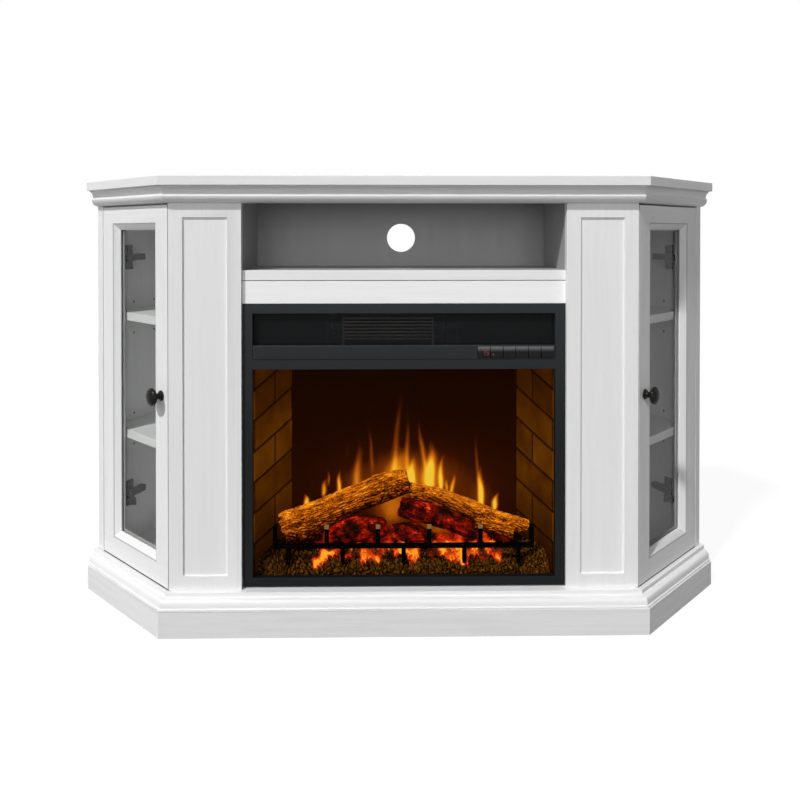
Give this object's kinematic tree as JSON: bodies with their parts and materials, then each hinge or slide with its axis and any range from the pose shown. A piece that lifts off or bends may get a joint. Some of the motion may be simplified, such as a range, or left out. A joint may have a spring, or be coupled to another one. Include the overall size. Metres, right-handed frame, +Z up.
{
  "type": "fireplace tv stand",
  "caption": "White corner-cut media stand with an electric fireplace insert, an open niche above it and a glazed cabinet on each angled side",
  "frame": {"origin": "on the floor at the middle of the stand's outline", "axes": "+X to the right seen from the front, the front faces -Y, +Z up"},
  "size_m": [1.252, 0.38, 0.81],
  "materials": {
    "white_wood_foil": "white wood-grain foil, satin",
    "white_hardboard": "white faced hardboard",
    "white_plastic": "satin white",
    "nickel_steel": "nickel plated",
    "cabinet_glass": "clear float glass",
    "firebox_glass": "clear tempered glass",
    "dark_bronze": "dark bronze, semi gloss",
    "black_coated_steel": "black powder coat",
    "galvanised_sheet": "galvanised",
    "black_mesh": "black expanded mesh",
    "black_plastic": "satin black",
    "key_plastic": "satin black keys",
    "circuit_board": "solder mask",
    "flame_screen": "smoked screen lit by the flame rotor",
    "brick_resin": "moulded brick panel",
    "log_resin": "moulded and painted logs",
    "ember_resin": "moulded ember bed lit from below",
    "grate_iron": "black",
    "lamp": "lamp strip",
    "heater_alloy": "bare",
    "motor_case": "grey"
  },
  "bodies": {
    "cabinet": {"top_panel": "white_wood_foil", "crown_moulding": "white_wood_foil", "base_cap": "white_wood_foil", "plinth_boards": "white_wood_foil", "plinth_bearers": "white_wood_foil", "bottom_panel": "white_wood_foil", "left_pilaster": "white_wood_foil", "right_pilaster": "white_wood_foil", "top_rails": "white_wood_foil", "header_rail": "white_wood_foil", "niche_shelf": "white_wood_foil", "niche_back_panel": "white_wood_foil", "left_divider": "white_wood_foil", "right_divider": "white_wood_foil", "left_side_panel": "white_wood_foil", "right_side_panel": "white_wood_foil", "hinge_posts": "white_wood_foil", "left_lower_shelf": "white_wood_foil", "right_lower_shelf": "white_wood_foil", "left_upper_shelf": "white_wood_foil", "right_upper_shelf": "white_wood_foil", "back_panels": "white_hardboard", "shelf_pins": "nickel_steel", "hinge_arms": "nickel_steel", "door_catches": "white_plastic", "insert_frame": "black_coated_steel", "insert_housing": "galvanised_sheet", "power_inlet": "black_plastic", "firebox_glass": "firebox_glass", "air_mesh": "black_mesh", "control_panel": "black_plastic", "control_board": "circuit_board", "flame_screen": "flame_screen", "brick_panels": "brick_resin", "ember_bed": "ember_resin", "ember_lamp_strip": "lamp", "fire_grate": "grate_iron", "log_set": "log_resin", "heater_element": "heater_alloy", "blower_motor": "motor_case", "shaft_bearings": "galvanised_sheet", "flame_motor": "motor_case"},
    "left_door": {"left_door_frame": "white_wood_foil", "left_door_glass": "cabinet_glass", "left_glass_retainer": "white_plastic", "left_door_knob": "dark_bronze", "left_hinge_cups": "nickel_steel"},
    "right_door": {"right_door_frame": "white_wood_foil", "right_door_glass": "cabinet_glass", "right_glass_retainer": "white_plastic", "right_door_knob": "dark_bronze", "right_hinge_cups": "nickel_steel"},
    "control_key_1": {"control_key_1": "key_plastic"},
    "control_key_2": {"control_key_2": "key_plastic"},
    "control_key_3": {"control_key_3": "key_plastic"},
    "control_key_4": {"control_key_4": "key_plastic"},
    "control_key_5": {"control_key_5": "key_plastic"},
    "control_key_6": {"control_key_6": "key_plastic"},
    "blower_wheel": {"blower_wheel": "black_plastic"},
    "flame_rotor": {"flame_rotor": "heater_alloy"}
  },
  "joints": [
    {"name": "right_door_swing", "type": "hinge", "parent": "cabinet", "child": "right_door", "pos_m": [0.57283, 0.00174, 0.417], "axis": [0, 0, 1], "range_deg": [0, 95]},
    {"name": "left_door_swing", "type": "hinge", "parent": "cabinet", "child": "left_door", "pos_m": [-0.57283, 0.00174, 0.417], "axis": [0, 0, -1], "range_deg": [0, 95]},
    {"name": "control_key_1_press", "type": "slide", "parent": "cabinet", "child": "control_key_1", "axis": [0, 1, 0], "range_m": [0, 0.0015], "stiffness_N_per_m": 400, "springref_m": -0.0005},
    {"name": "control_key_2_press", "type": "slide", "parent": "cabinet", "child": "control_key_2", "axis": [0, 1, 0], "range_m": [0, 0.0015], "stiffness_N_per_m": 400, "springref_m": -0.0005},
    {"name": "control_key_3_press", "type": "slide", "parent": "cabinet", "child": "control_key_3", "axis": [0, 1, 0], "range_m": [0, 0.0015], "stiffness_N_per_m": 400, "springref_m": -0.0005},
    {"name": "control_key_4_press", "type": "slide", "parent": "cabinet", "child": "control_key_4", "axis": [0, 1, 0], "range_m": [0, 0.0015], "stiffness_N_per_m": 400, "springref_m": -0.0005},
    {"name": "control_key_5_press", "type": "slide", "parent": "cabinet", "child": "control_key_5", "axis": [0, 1, 0], "range_m": [0, 0.0015], "stiffness_N_per_m": 400, "springref_m": -0.0005},
    {"name": "control_key_6_press", "type": "slide", "parent": "cabinet", "child": "control_key_6", "axis": [0, 1, 0], "range_m": [0, 0.0015], "stiffness_N_per_m": 400, "springref_m": -0.0005},
    {"name": "blower_spin", "type": "hinge", "parent": "cabinet", "child": "blower_wheel", "pos_m": [-0.029, -0.0957, 0.5365], "axis": [1, 0, 0], "continuous": true},
    {"name": "flame_rotor_spin", "type": "hinge", "parent": "cabinet", "child": "flame_rotor", "pos_m": [0, 0.01365, 0.134], "axis": [1, 0, 0], "continuous": true}
  ]
}
